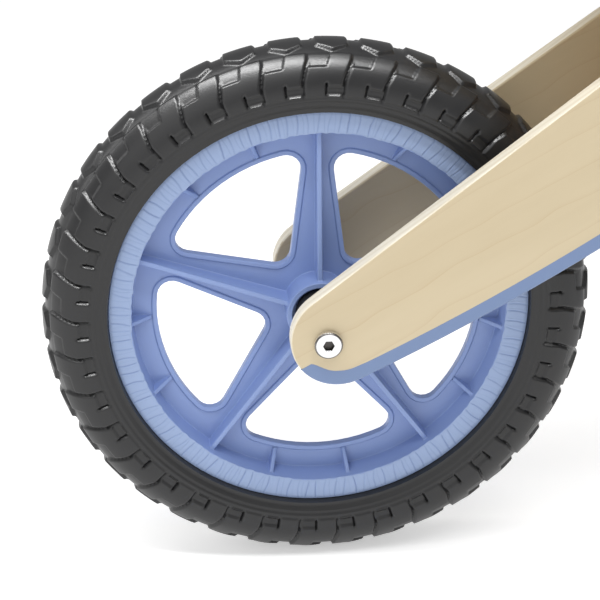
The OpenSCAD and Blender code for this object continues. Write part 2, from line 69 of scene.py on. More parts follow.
# %% Camera: close on the rear wheel, from the right and a little above
camera_data = bpy.data.cameras.new("wheel_camera")
camera = bpy.data.objects.new("wheel_camera", camera_data)
bpy.context.scene.collection.objects.link(camera)
camera_data.lens = 142.44
camera_data.sensor_width = 36
camera_data.clip_end = 30
camera.location = (-0.38189, -1.13874, 0.64426)
camera.rotation_euler = [math.radians(a) for a in (66.40596, 0.19497, -5.49363)]
bpy.context.scene.camera = camera
print("camera stands", round((camera.location - rear_axle).length, 3), "m from the axle")

# %% [markdown]
# Every finish here is built from shader nodes. A handful of small helpers keep
# each recipe short enough to read. One starts a material with its main shader,
# and another adds a node, fills in its sockets and plugs other nodes into them;
# the rest are the few nodes that come back in every recipe. Numbers that are
# the same all over a surface stay on the shader itself.

# %% Helpers for materials
def start_material(name, **surface):
    """A new material and its main shader, with the sockets named in surface set."""
    material = bpy.data.materials.new(name)
    material.use_nodes = True
    shader = material.node_tree.nodes["Principled BSDF"]
    for socket, value in surface.items():
        shader.inputs[socket.replace("_", " ")].default_value = value
    return material, shader


def node(tree, kind, settings=None, **sockets):
    """Add one node. A socket takes a number, a colour, or another node's output.

    A socket goes by its name, or by i and its number where names repeat, as i3.
    """
    made = tree.nodes.new("ShaderNode" + kind)
    for key, value in (settings or {}).items():
        setattr(made, key, value)
    for key, value in sockets.items():
        socket = made.inputs[int(key[1:]) if key[0] == "i" and key[1:].isdigit() else key]
        if isinstance(value, bpy.types.NodeSocket):
            tree.links.new(value, socket)
        else:
            socket.default_value = value
    return made


def place(tree, turn=(0, 0, 0), scale=(1, 1, 1)):
    """The piece's own coordinates, turned by degrees and then stretched."""
    own = node(tree, "TexCoord").outputs["Object"]
    turned = node(tree, "Mapping", {"vector_type": "POINT"}, Vector=own,
                  Rotation=[math.radians(a) for a in turn])
    return node(tree, "Mapping", Vector=turned.outputs[0], Scale=scale).outputs[0]


def noise(tree, where, scale=1.0, detail=3.0, roughness=0.5):
    """Soft random cloud from 0 to 1."""
    return node(tree, "TexNoise", Vector=where, Scale=scale, Detail=detail,
                Roughness=roughness).outputs["Fac"]


def ramp(tree, value, *stops):
    """Turn a number into a colour along (position, colour) stops."""
    made = node(tree, "ValToRGB", Fac=value)
    elements = made.color_ramp.elements
    while len(elements) < len(stops):
        elements.new(0.5)
    for element, (position, colour) in zip(elements, stops):
        element.position = position
        element.color = (*colour, 1)
    return made.outputs["Color"]


def blend_colours(tree, factor, a, b):
    """Mix colour b over colour a."""
    made = tree.nodes.new("ShaderNodeMix")
    made.data_type = "RGBA"
    for socket, value in ((made.inputs[0], factor), (made.inputs[6], a), (made.inputs[7], b)):
        if isinstance(value, bpy.types.NodeSocket):
            tree.links.new(value, socket)
        else:
            socket.default_value = (*value, 1) if isinstance(value, tuple) else value
    return made.outputs[2]


def spread(tree, value, low, high):
    """Stretch 0 to 1 onto low to high."""
    return node(tree, "MapRange", Value=value, i3=low, i4=high).outputs[0]


def dress(tree, shader, colour, cloud, rough, grain=None, depth=0, strength=0.5):
    """Plug in the colour, let cloud move the roughness, and let grain stand depth proud."""
    tree.links.new(colour, shader.inputs["Base Color"])
    tree.links.new(spread(tree, cloud, *rough), shader.inputs["Roughness"])
    if grain is not None:
        bump = node(tree, "Bump", Height=grain, Distance=depth, Strength=strength)
        tree.links.new(bump.outputs[0], shader.inputs["Normal"])


print("material helpers ready")

# %% [markdown]
# The frame is birch plywood under a thin clear lacquer. Its face is one long
# peeled veneer: a pale beige with slow flame figure and fine fibres running
# the length of the plate. Noise stretched hard along one axis gives both, so
# the coordinates are first turned to the direction in which the grain runs.

# %% Birch face
VENEER = ((0.30, (0.575, 0.476, 0.312)), (0.55, (0.618, 0.520, 0.350)),
          (0.80, (0.652, 0.556, 0.388)))
VENEER_PATCH = (0.625, 0.520, 0.345)
VENEER_FIBRE = (0.56, 0.45, 0.285)
GROWTH_LINE = (0.50, 0.37, 0.21)
PORE = (0.43, 0.31, 0.18)


def birch_face(name, grain_turn):
    """Lacquered veneer, its grain turned by grain_turn degrees about the cross axis."""
    material, shader = start_material(name, Specular_IOR_Level=0.35, Coat_Weight=0.10,
                                      Coat_Roughness=0.3)
    tree = material.node_tree
    turn = (0, grain_turn, 0)
    figure = noise(tree, place(tree, turn, (5, 9, 34)), 1, 4, 0.55)
    mottle = noise(tree, place(tree, turn, (22, 30, 60)), 1, 3, 0.6)
    fibre = noise(tree, place(tree, turn, (30, 400, 1500)), 1, 3, 0.6)
    pores = noise(tree, place(tree, turn, (160, 900, 1900)), 1, 1, 0.5)
    # growth lines are the sharp edges of broad, warped bands along the grain
    rings = node(tree, "TexWave", {"bands_direction": "Z", "wave_profile": "SAW"},
                 Vector=place(tree, turn, (6, 6, 20)), Scale=1.0, Distortion=4.5, Detail=2.0,
                 i4=2.0, i5=0.5).outputs["Fac"]
    ring_line = ramp(tree, rings, (0.0, (1, 1, 1)), (0.035, (0.35, 0.35, 0.35)),
                     (0.16, (0, 0, 0)), (1.0, (0, 0, 0)))
    wood = ramp(tree, figure, *VENEER)
    wood = blend_colours(tree, spread(tree, mottle, 0, 0.30), wood, VENEER_PATCH)
    wood = blend_colours(tree, spread(tree, fibre, 0, 0.14), wood, VENEER_FIBRE)
    wood = blend_colours(tree, spread(tree, ring_line, 0, 0.42), wood, GROWTH_LINE)
    fleck = ramp(tree, pores, (0.0, (1, 1, 1)), (0.28, (0, 0, 0)), (1.0, (0, 0, 0)))
    wood = blend_colours(tree, spread(tree, fleck, 0, 0.30), wood, PORE)
    dress(tree, shader, wood, fibre, (0.40, 0.54), fibre, 0.00006)
    return material


frame_face = birch_face("birch_frame_face", 28)
fork_face = birch_face("birch_fork_face", -72)
saddle_face = birch_face("birch_saddle_face", 0)
print("birch faces:", frame_face.name, fork_face.name, saddle_face.name)

# %% [markdown]
# A cut edge of plywood shows its veneers. Every other one is end grain, which
# drinks more lacquer and turns a little darker. An image could show them, but a
# wave that repeats every second ply needs no unwrapping, and a turn by the
# plate's toe-in keeps its layers parallel to the plate's face.

# %% Plywood edge
EVERY_SECOND_PLY = math.pi / 10     # scale at which the wave repeats after two plies


def plywood_edge(name, toe_in, across=(0, 1, 0), ply=2.5 * mm):
    """Plies that are stacked along across and turned by toe_in degrees."""
    material, shader = start_material(name, Specular_IOR_Level=0.35, Coat_Weight=0.06)
    tree = material.node_tree
    depth = tuple(c / ply for c in across)
    layers = node(tree, "TexWave", {"bands_direction": "DIAGONAL", "wave_profile": "TRI"},
                  Vector=place(tree, (0, 0, toe_in), depth), Scale=EVERY_SECOND_PLY,
                  Distortion=0, Detail=0).outputs["Fac"]
    fibre = noise(tree, place(tree, (0, 0, toe_in), (420, 2600, 420)), 1, 3, 0.6)
    veneer = ramp(tree, layers, (0.30, (0.800, 0.745, 0.620)), (0.60, (0.755, 0.690, 0.555)),
                  (0.9, (0.715, 0.645, 0.505)))
    veneer = blend_colours(tree, spread(tree, fibre, 0, 0.4), veneer, (0.82, 0.77, 0.65))
    dress(tree, shader, veneer, fibre, (0.42, 0.62), fibre, 0.00012, 0.6)
    return material


TOE_IN = 3.6
right_edge = plywood_edge("plywood_edge_right", TOE_IN)
left_edge = plywood_edge("plywood_edge_left", -TOE_IN)
fork_edge = plywood_edge("plywood_edge_fork", 0)
board_edge = plywood_edge("plywood_edge_board", 0, (0, 0, 1), 2.2 * mm)
print("plywood edges toe in by", TOE_IN, "degrees")

# %% [markdown]
# The blocks, braces, handlebar and seat post are solid beech: a pinker brown
# than birch, with the short dark dashes that beech shows on every quartered
# face. Cells of a Voronoi pattern, squeezed thin across the grain, make them.

# %% Beech
def beech(name, along):
    """along is the stretch of the grain: small along it and large across it."""
    material, shader = start_material(name, Specular_IOR_Level=0.4, Coat_Weight=0.15,
                                      Coat_Roughness=0.22)
    tree = material.node_tree
    where = place(tree, scale=along)
    streak = noise(tree, where, 0.12, 4, 0.6)
    fibre = noise(tree, where, 2.6, 3, 0.6)
    dash = node(tree, "TexVoronoi", Vector=where, Scale=1.3).outputs["Distance"]
    wood = ramp(tree, streak, (0.30, (0.500, 0.320, 0.170)), (0.70, (0.610, 0.425, 0.245)))
    wood = blend_colours(tree, spread(tree, fibre, 0, 0.25), wood, (0.42, 0.255, 0.13))
    dashes = ramp(tree, dash, (0.0, (1, 1, 1)), (0.16, (0, 0, 0)), (1.0, (0, 0, 0)))
    wood = blend_colours(tree, spread(tree, dashes, 0, 0.55), wood, (0.27, 0.145, 0.07))
    dress(tree, shader, wood, fibre, (0.34, 0.48), fibre, 0.00006)
    return material


beech_across = beech("beech_across", (800, 90, 800))
beech_upright = beech("beech_upright", (800, 800, 90))
print("beech:", beech_across.name, beech_upright.name)

# %% [markdown]
# The wheels are moulded in a light periwinkle plastic. Moulded plastic is
# almost even in colour, with a fine spark-eroded grain that takes the edge
# off its shine. The outer band is paler, where the skin stretched and blushed.

# %% Wheel plastic
def moulded_blue(name, colour, blush, roughness):
    """Moulded plastic of one colour that clouds a little towards blush."""
    material, shader = start_material(name, Specular_IOR_Level=0.50)
    tree = material.node_tree
    cloud = noise(tree, place(tree), 38, 3, 0.5)
    grain = noise(tree, place(tree), 2600, 2, 0.6)
    tint = blend_colours(tree, spread(tree, cloud, 0, 0.35), colour, blush)
    dress(tree, shader, tint, cloud, (roughness, roughness + 0.12), grain, 0.00004)
    return material


def crinkled_blue(name, colour, blush, dark, roughness):
    """The band's plastic, darkened in the creases that its own mesh carries: painted shade."""
    material = moulded_blue(name, colour, blush, roughness)
    tree = material.node_tree
    shader = tree.nodes["Principled BSDF"]
    crease = node(tree, "Attribute", {"attribute_name": "crease"}).outputs["Fac"]
    tint = shader.inputs["Base Color"].links[0].from_socket
    streak = noise(tree, place(tree, scale=(60, 1, 60)), 3, 3, 0.6)
    tint = blend_colours(tree, spread(tree, streak, 0, 0.35), tint, blush)
    # the crease value blends the colour towards dark: painted shade in the creases
    tree.links.new(blend_colours(tree, crease, tint, dark), shader.inputs["Base Color"])
    return material


rim_blue = moulded_blue("rim_blue", (0.225, 0.312, 0.580), (0.262, 0.355, 0.630), 0.30)
# the third colour is the painted shade in the band's creases
band_blue = crinkled_blue("rim_band_blue", (0.275, 0.365, 0.575), (0.325, 0.415, 0.620),
                          (0.150, 0.215, 0.420), 0.42)
print("wheel plastics:", rim_blue.name, band_blue.name)

# %% [markdown]
# The tyre is skinned foam: nearly black, with a satin skin that goes glossier
# on the worn tops of the tread. Here the roughness does not follow the tread: it follows a cloudy
# noise, and a fine pebbled bump breaks up the highlights.

# %% Foam skin, rubber and nylon
def black_skin(name, colour, dusty, rough, grain_scale, grain_depth, **surface):
    """A grained skin; rough gives its smoothest and its roughest places."""
    material, shader = start_material(name, **surface)
    tree = material.node_tree
    cloud = noise(tree, place(tree), 60, 4, 0.6)
    grain = noise(tree, place(tree), grain_scale, 3, 0.6)
    tint = blend_colours(tree, spread(tree, cloud, 0.0, 0.5), colour, dusty)
    dress(tree, shader, tint, cloud, rough, grain, grain_depth, 0.6)
    return material


foam = black_skin("foam_tyre_skin", (0.006, 0.006, 0.0065), (0.011, 0.011, 0.0115), (0.29, 0.42),
                  900, 0.00006, Specular_IOR_Level=0.5)
grip_rubber = black_skin("grip_rubber", (0.018, 0.018, 0.019), (0.030, 0.030, 0.031),
                         (0.55, 0.70), 1800, 0.00008, Specular_IOR_Level=0.4)
black_nylon = black_skin("black_nylon", (0.014, 0.014, 0.015), (0.022, 0.022, 0.023),
                         (0.38, 0.50), 2400, 0.00003, Specular_IOR_Level=0.45)
white_nylon = black_skin("white_nylon", (0.74, 0.74, 0.71), (0.66, 0.65, 0.61),
                         (0.38, 0.50), 2400, 0.00003, Specular_IOR_Level=0.45)
print("skins:", foam.name, grip_rubber.name, black_nylon.name, white_nylon.name)

# %% [markdown]
# Bolts are nickel-plated steel, polished but turned first: faint rings from
# the lathe stay under the plating. They come from a noise that changes fast
# along a bolt's crosswise axis and slowly round it. The sockets get a near-black
# steel as painted shade, and the chamfers a dark steel as a painted dark reflection.

# %% Nickel-plated steel
def nickel(name, colour, rough):
    """Plated steel; rough gives its smoothest and its roughest places."""
    material, shader = start_material(name, Metallic=1.0)
    tree = material.node_tree
    cloud = noise(tree, place(tree), 240, 3, 0.6)
    turned = noise(tree, place(tree, scale=(1, 9, 1)), 900, 2, 0.5)
    tint = blend_colours(tree, spread(tree, cloud, 0, 0.5), colour, tuple(0.75 * c for c in colour))
    dress(tree, shader, tint, cloud, rough, turned, 0.00001, 0.4)
    return material


nickel_steel = nickel("nickel_steel", (0.80, 0.80, 0.81), (0.10, 0.20))
# darker steels: painted shade in the sockets, a painted dark reflection on the chamfers
socket_painted_shade = nickel("socket_painted_shade", (0.09, 0.085, 0.08), (0.30, 0.45))
chamfer_painted_shade = nickel("chamfer_painted_shade", (0.20, 0.19, 0.18), (0.22, 0.34))
print("metals:", nickel_steel.name, socket_painted_shade.name, chamfer_painted_shade.name)

# %% [markdown]
# Most of the bike's wooden and moulded pieces have the right shape already,
# but a solid model ends in knife edges. Real edges are sanded or moulded
# round, and that round is what catches the light. So each is welded, freed of
# the needless triangles in its flat faces, and bevelled. Weighted normals keep
# the large faces flat in the shading while the small rounds turn smoothly.

# %% Helper that softens a measured piece
def link(name, mesh):
    piece = bpy.data.objects.new(name, mesh)
    bpy.context.scene.collection.objects.link(piece)
    return piece


def finish_piece(piece, body, replaced, crease=50):
    for polygon in piece.data.polygons:
        polygon.use_smooth = True
    piece.data.set_sharp_from_angle(angle=math.radians(crease))
    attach(piece, body)
    if replaced:
        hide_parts(*replaced)
    return piece


def body_of(name):
    """The body that a measured piece belongs to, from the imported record."""
    bodies = frame["record"]["behaviour"]["bodies"]
    return next(body for body, nodes in bodies.items() if name in nodes)


def softened(name, radius, material, segments=2, edge_angle=30, paint=None):
    """A copy of the measured piece with rounded edges. paint(mesh) picks the materials."""
    mesh = frame["nodes"][name].data.copy()
    mesh.materials.clear()
    for each in material if isinstance(material, (list, tuple)) else [material]:
        mesh.materials.append(each)
    work = bmesh.new()
    work.from_mesh(mesh)
    bmesh.ops.remove_doubles(work, verts=work.verts, dist=1e-6)
    bmesh.ops.dissolve_limit(work, angle_limit=math.radians(0.6), verts=work.verts,
                             edges=work.edges, delimit=set())
    for face in work.faces:
        face.material_index = 0
    if paint:
        paint(work)
    edges = [e for e in work.edges
             if e.is_manifold and e.calc_face_angle(0) > math.radians(edge_angle)]
    bmesh.ops.bevel(work, geom=edges, offset=radius, segments=segments, profile=0.5,
                    affect="EDGES", clamp_overlap=False, loop_slide=False, material=-1)
    bmesh.ops.dissolve_degenerate(work, dist=1e-6, edges=work.edges)
    work.to_mesh(mesh)
    work.free()
    piece = link(name + "_finished", mesh)
    finish_piece(piece, body_of(name), [name])
    weighted = piece.modifiers.new("even_faces", "WEIGHTED_NORMAL")
    weighted.keep_sharp = True
    weighted.weight = 100
    return piece


print("piece names carry _finished after the measured name")

# %% [markdown]
# The two frame plates are cut from one birch board and sanded over, so their
# flat faces take the veneer and everything between them takes the cut edge.
# A face belongs to the veneer if it looks almost straight to the side.

# %% Plywood plates and the saddle board
def veneer_or_edge(side_axis, limit=0.97):
    """Paint the faces that look along side_axis as veneer and the rest as edge."""
    def paint(work):
        for face in work.faces:
            face.material_index = 0 if abs(face.normal[side_axis]) > limit else 1
    return paint


plates = {}
for name, face, edge in (("frame_plate_right", frame_face, right_edge),
                         ("frame_plate_left", frame_face, left_edge),
                         ("fork_plate_right", fork_face, fork_edge),
                         ("fork_plate_left", fork_face, fork_edge)):
    plates[name] = softened(name, 1.3 * mm, [face, edge], 3,
                            paint=veneer_or_edge(1))
softened("saddle_board", 1.2 * mm, [saddle_face, board_edge], 3,
         paint=veneer_or_edge(2))
print("plates:", {name: len(piece.data.polygons) for name, piece in plates.items()})

# %% [markdown]
# The solid beech pieces are planed sticks and blocks whose corners were broken
# with sandpaper. They could be chamfered one by one in the measured model, but
# the helper gives them all the same hand-sanded round at once.

# %% Solid beech pieces
for name in ("head_block", "seat_cheek_right", "seat_cheek_left", "lower_crown", "upper_crown",
             "rear_brace", "front_brace", "handlebar"):
    softened(name, 1.0 * mm, beech_across, 3)
softened("seat_post", 1.2 * mm, beech_upright, 3)
print("beech pieces softened by 1 mm")

# %% [markdown]
# Spacers and bushes are turned or moulded nylon. The black spacers keep the
# wheels centred, and the white bushes are the bearings, of which only a rim
# shows. Their edges are crisper than those of wood, so the round is smaller.

# %% Nylon spacers and bushes
for name in ("rear_spacer_right", "rear_spacer_left", "front_spacer_right",
             "front_spacer_left"):
    softened(name, 0.6 * mm, black_nylon, 3)
for name in ("rear_bush_right", "rear_bush_left", "front_bush_right", "front_bush_left",
             "head_bush_lower", "head_bush_upper"):
    softened(name, 0.3 * mm, white_nylon, 2)
print("nylon pieces softened")

# %% [markdown]
# Steel keeps the sharpest edges. On the bolts, the faces inside the hexagon
# socket and on the turned chamfer get darker steels: painted shade in the socket
# and a painted dark reflection on the chamfer. They could be picked by
# hand, but a rule finds them on every bolt: a socket's faces lie close round
# the bolt's axis, and a chamfer's faces lie further out and stand aslant.

# %% Steel pieces
SOCKET_REACH = 3.2 * mm
CHAMFER_SLANT = (0.2, 0.93)     # how much of a chamfer's normal points along the bolt


def bolts_of(work):
    """The connected pieces of a mesh, each as a set of corners."""
    left = set(work.verts)
    while left:
        bolt, open_ends = set(), [left.pop()]
        while open_ends:
            corner = open_ends.pop()
            bolt.add(corner)
            beyond = {edge.other_vert(corner) for edge in corner.link_edges} & left
            left -= beyond
            open_ends.extend(beyond)
        yield bolt


def shade_sockets(work):
    """Paint shade on the sockets and a dark reflection on the turned chamfers of the crosswise
    bolts, as darker steels.
    """
    for bolt in bolts_of(work):
        x = (min(c.co.x for c in bolt) + max(c.co.x for c in bolt)) / 2
        z = (min(c.co.z for c in bolt) + max(c.co.z for c in bolt)) / 2
        for face in {face for corner in bolt for face in corner.link_faces}:
            reach = [math.hypot(c.co.x - x, c.co.z - z) for c in face.verts]
            if max(reach) < SOCKET_REACH:
                face.material_index = 1
            elif (CHAMFER_SLANT[0] < abs(face.normal.y) < CHAMFER_SLANT[1]
                  and min(reach) > SOCKET_REACH):
                face.material_index = 2


for name in ("rear_axle_bolts", "front_axle_bolts", "head_bolts", "brace_bolts",
             "seat_clamp_bolts", "crown_bolts"):
    softened(name, 0.25 * mm, [nickel_steel, socket_painted_shade, chamfer_painted_shade], 3,
             paint=shade_sockets)
for name in ("steering_bolt", "steering_washer", "steering_nut", "saddle_screws",
             "rear_axle_tube", "front_axle_tube", "seat_clamp_tubes", "bar_pins"):
    softened(name, 0.25 * mm, nickel_steel, 3)
print("steel pieces softened by a quarter of a millimetre")

# %% [markdown]
# The stripe, the crinkled bands, the tyres, the grips and the cords have shapes
# that no rounding can give, so they are drawn from scratch. Each is a grid of
# points that is rolled or bent into shape, and one helper joins the neighbours.

# %% Helpers for pieces drawn as a grid of points
def grid_quads(count, rows, count_closes=False, rows_close=False):
    """Join count strips of rows points each; either way round may close on itself."""
    i, j = np.meshgrid(np.arange(count if count_closes else count - 1),
                       np.arange(rows if rows_close else rows - 1), indexing="ij")
    here, beyond = i.ravel() * rows, (i.ravel() + 1) % count * rows
    j, up = j.ravel(), (j.ravel() + 1) % rows
    return np.stack([here + j, here + up, beyond + up, beyond + j], -1)


OTHER_WAY = [0, 3, 2, 1]        # the same four corners, so that the quad faces back


def drawn(name, verts, faces, material):
    """A mesh of one material."""
    mesh = bpy.data.meshes.new(name)
    mesh.from_pydata(verts, [], faces)
    mesh.materials.append(material)
    return mesh


print("grid helpers ready")

# %% [markdown]
# The frame's only colour is a stripe of blue lacquer along the lower edge of
# each outer face. It could be painted in the wood's material, but its edge has
# to follow the plate's outline. So it is built as a thin ribbon of its own that
# wraps the rounded edge and lies on the face: from the plate's lower outline to
# a line a few millimetres further in. Round the tail it narrows to a point.

# %% Blue lacquer stripe
STRIPE_WIDTH = 7.4 * mm
STRIPE_LIFT = 0.10 * mm
STRIPE_STEP = 1.2 * mm
TAIL_REACH = 14 * mm     # the inner line is looked for this far in from the edge
TAIL_STEP = 0.1 * mm
EVEN_OVER = 7            # points on each side over which the width is evened out
stripe_paint, stripe_shader = start_material(
    "stripe_lacquer", Specular_IOR_Level=0.45, Coat_Weight=0.35, Coat_Roughness=0.12)
stripe_tree = stripe_paint.node_tree
stripe_cloud = noise(stripe_tree, place(stripe_tree), 160, 3, 0.6)
stripe_blue = blend_colours(stripe_tree, spread(stripe_tree, stripe_cloud, 0, 0.5),
                            (0.150, 0.222, 0.400), (0.178, 0.256, 0.432))
dress(stripe_tree, stripe_shader, stripe_blue, stripe_cloud, (0.30, 0.42))

# the stripe's inner line round the tail, from its tip: (forward, up) from the axle
STRIPE_TAIL = [(-13.6, -13.6), (-11.6, -12.2), (-9.6, -11.2), (-8.0, -11.0), (-5.8, -12.0),
               (-3.0, -13.5), (0.4, -15.1), (3.75, -15.9), (7.0, -15.9), (10.0, -15.1),
               (14.0, -13.6)]


def outer_outline(name, side):
    """The plate's outline, seen from its own outer side, as (x, z) points."""
    work = bmesh.new()
    work.from_mesh(frame["nodes"][name].data)
    bmesh.ops.remove_doubles(work, verts=work.verts, dist=1e-6)
    outer = {f for f in work.faces if f.normal.y * side > 0.97}
    rim = [e for e in work.edges if sum(f in outer for f in e.link_faces) == 1]
    follow = {}
    for e in rim:
        for v in e.verts:
            follow.setdefault(v, []).append(e)
    loops, left = [], set(rim)
    while left:
        e = left.pop()
        loop, v = [e.verts[0]], e.verts[1]
        while v != loop[0]:
            loop.append(v)
            e = next(x for x in follow[v] if x in left)
            left.discard(e)
            v = e.other_vert(v)
        loops.append([w.co.copy() for w in loop])
    work.free()
    return max(loops, key=lambda p: max(c.x for c in p) - min(c.x for c in p))


ROUND_R = 1.3 * mm       # the plate's own rounded edge, which the stripe follows
ROUND_ROWS = 4
STRIPE_ROWS = 4


def below(line, point):
    """True where point lies under the line of (x, z) points."""
    return line[0, 0] < point[0] and point[1] < np.interp(point[0], line[:, 0], line[:, 1])


def lacquer_stripe(name, side):
    """A ribbon along the lower edge of a plate's outer face; side is 1 on the left."""
    outline = outer_outline(name, side)
    area = sum(a.x * b.z - b.x * a.z for a, b in zip(outline, outline[1:] + outline[:1]))
    if area < 0:
        outline.reverse()
    tail = np.array(STRIPE_TAIL) * mm + (rear_axle.x, rear_axle.z)
    first = min(range(len(outline)), key=lambda i: (outline[i].x - tail[0, 0]) ** 2
                + (outline[i].z - tail[0, 1]) ** 2)
    ring = outline[first:] + outline[:first]
    front = max(range(len(ring)), key=lambda i: ring[i].x - 1.2 * ring[i].z)
    path = np.array([(p.x, p.z) for p in ring[:front + 1]])
    run = np.concatenate([[0], np.cumsum(np.hypot(*np.diff(path, axis=0).T))])
    spots = np.arange(0.2 * mm, run[-1] - 1.0 * mm, STRIPE_STEP)
    line = np.stack([np.interp(spots, run, path[:, 0]), np.interp(spots, run, path[:, 1])], -1)
    face_y = np.polyfit([p.x for p in outline], [p.y for p in outline], 1)
    ahead = np.gradient(line, axis=0)
    ahead /= np.linalg.norm(ahead, axis=1, keepdims=True)
    inward = np.stack([-ahead[:, 1], ahead[:, 0]], -1)
    widths = []
    for here, into in zip(line, inward):
        inside = [w for w in np.arange(0, TAIL_REACH, TAIL_STEP) if below(tail, here + into * w)]
        widths.append(max(inside, default=0.0) if here[0] < tail[-1, 0] else STRIPE_WIDTH)
    window = np.ones(2 * EVEN_OVER + 1) / (2 * EVEN_OVER + 1)
    even = np.convolve(np.pad(widths, EVEN_OVER, "edge"), window, "valid")
    blend = np.clip((line[:, 0] - tail[4, 0]) / (tail[8, 0] - tail[4, 0]), 0, 1)
    widths = np.array(widths) * (1 - blend) + even * blend
    verts, lift = [], STRIPE_LIFT
    for here, into, width in zip(line, inward, widths):
        for k in range(ROUND_ROWS):
            a = math.radians(90 * k / ROUND_ROWS)
            inset = min(ROUND_R - (ROUND_R + lift) * math.cos(a), width)
            back = ROUND_R - (ROUND_R + lift) * math.sin(a)
            x, z = here + into * inset
            verts.append((x, np.polyval(face_y, x) - side * back, z))
        for k in range(STRIPE_ROWS + 1):
            inset = min(ROUND_R, width) + max(0, width - ROUND_R) * k / STRIPE_ROWS
            x, z = here + into * inset
            proud = lift if k < STRIPE_ROWS else 0.3 * lift
            verts.append((x, np.polyval(face_y, x) + side * proud, z))
    quads = grid_quads(len(line), ROUND_ROWS + STRIPE_ROWS + 1)
    if side < 0:
        quads = quads[:, ::-1]
    mesh = drawn(name + "_stripe", verts, quads.tolist(), stripe_paint)
    return finish_piece(link(mesh.name, mesh), "frame", [])


for side_name, side in (("right", -1), ("left", 1)):
    stripe = lacquer_stripe("frame_plate_" + side_name, side)
    print(stripe.name, len(stripe.data.polygons), "faces")

# %% [markdown]
# The rim is one moulding. Its measured copy gets a round on every edge, small
# enough to leave the thin ribs their thickness. In the inner corners the same
# bevel makes the fillets that a mould needs to let the part go.

# %% Rims
for name in ("rear_rim", "front_rim"):
    softened(name, 0.55 * mm, rim_blue, 2, edge_angle=32)
print("rims softened")

# %% [markdown]
# On each face of the rim lies a flat band whose skin is crinkled, as if it had
# been pressed round: irregular creases about every three degrees, each with a
# low ridge beside it, and an inner edge that wanders. Bump could fake them, but
# a ring of thin geometry makes the creases real, and hands the material how
# deep each point lies, which it paints as shade. The seed is fixed, so each run draws the same
# creases.

# %% Crinkled band on each face of the rim
BAND_INNER = 98.4 * mm
BAND_OUTER = 109.7 * mm
BAND_PROUD = 0.55 * mm
BAND_STEPS = 2160                # round the ring
BAND_ROWS = 12                   # across the band
CREASE_GAPS = (2.3, 3.4)         # degrees from one crease to the next
CREASE_LEANS = (-1.5, 0.2)       # degrees that a crease leans across the band
CREASE_WIDTH = 0.17              # degrees, as are the next three
FAINT_WIDTH = 0.12
RIDGE_WIDTH = 0.24
RIDGE_AWAY = 0.48
LAST_CREASE = 358.5
EDGE_WAVES = (5, 9, 14, 23, 37, 61, 88, 117)    # waves round the wandering inner edge


def crinkled_band(name, centre, side, face_y, seed):
    """A creased ring round centre, proud of the plane at face_y towards side."""
    dice = random.Random(seed)
    angle = np.linspace(0, 360, BAND_STEPS, endpoint=False)
    share = np.linspace(0, 1, BAND_ROWS)
    A, S = np.meshgrid(angle, share, indexing="ij")
    crease, ridge, panel = np.zeros_like(A), np.zeros_like(A), np.zeros_like(A)
    spot = 0.0
    while spot < LAST_CREASE:
        lean, depth = dice.uniform(*CREASE_LEANS), dice.uniform(0.45, 1.0)
        bow, tilt, gap = dice.uniform(-0.5, 0.5), dice.uniform(-1, 1), dice.uniform(*CREASE_GAPS)
        away = (A - spot - lean * (S - 0.5) - bow * (S - 0.5) ** 2 * 4 + 180) % 360 - 180
        crease = np.maximum(crease, depth * np.exp(-(away / CREASE_WIDTH) ** 2))
        faint = away - gap * 0.45 + lean * (S - 0.5)
        crease = np.maximum(crease, 0.7 * (1 - depth) * np.exp(-(faint / FAINT_WIDTH) ** 2))
        ridge = np.maximum(ridge, depth * np.exp(-((away - RIDGE_AWAY) / RIDGE_WIDTH) ** 2))
        inside = (away > 0) & (away < gap)
        panel = np.where(inside, 0.12 * tilt * (away / gap - 0.5), panel)
        spot += gap
    wander = sum(dice.uniform(0.06, 0.17) * mm
                 * np.sin(np.radians(k * angle) + dice.uniform(0, 6.28))
                 for k in EDGE_WAVES)
    edge = np.clip(np.minimum(S / 0.16, (1 - S) / 0.08), 0, 1) ** 0.5
    height = BAND_PROUD * edge * (0.70 + panel + 0.30 * ridge - 0.62 * crease)
    R = BAND_INNER + (BAND_OUTER - BAND_INNER) * S + (wander[:, None] * (1 - S) ** 2)
    x = centre.x + R * np.cos(np.radians(A))
    z = centre.z + R * np.sin(np.radians(A))
    y = face_y + side * (height + 0.02 * mm)
    verts = np.stack([x, y, z], -1).reshape(-1, 3)
    quads = grid_quads(BAND_STEPS, BAND_ROWS, count_closes=True)[:, OTHER_WAY]
    if side > 0:
        quads = quads[:, ::-1]
    mesh = drawn(name, verts.tolist(), quads.tolist(), band_blue)
    shade = mesh.attributes.new("crease", "FLOAT", "POINT")
    # the material darkens each point by this value: painted shade in the creases
    shade.data.foreach_set("value", (0.85 * crease * edge).ravel().astype(np.float32))
    return link(name, mesh)


RIM_FACE = 14.7 * mm
for wheel, centre in (("rear_wheel", rear_axle), ("front_wheel", front_axle)):
    for side_name, side in (("right", -1), ("left", 1)):
        band = crinkled_band(f"{wheel}_band_{side_name}", centre, side, side * RIM_FACE,
                             seed=len(wheel) + side)
        finish_piece(band, wheel, [], crease=80)
print("band", round((BAND_OUTER - BAND_INNER) * 1000, 1), "mm wide")

# %% [markdown]
# The tyre is the piece that shows most. Its tread repeats 38 times round the
# wheel: a row of six-sided pads along the crown, and shoulder blocks with a
# stepped pocket, parted by slanted grooves that end in small notches on the
# sidewall. The pattern is drawn once, as a height over a flat tile. The tile
# is then wrapped around the tyre's own section, so the tread is real geometry.

# %% One tile of tread, as heights in millimetres
PITCHES = 38
TILE_STEPS = 30
SECTION_R = 122.5       # radius of the middle of the tyre's section
SECTION_TALL = 21.5     # half height of the section, along the wheel's radius
SECTION_WIDE = 21.0     # half width of the section
FOOT_ANGLE = 118        # where the section meets the rim
GROOVE_DEPTH = 1.7
TILE_LENGTH = 2 * math.pi * (SECTION_R + SECTION_TALL - 6) / PITCHES
PAD_CENTRE = 1.0        # the two halves of the tread are mirrored about this line


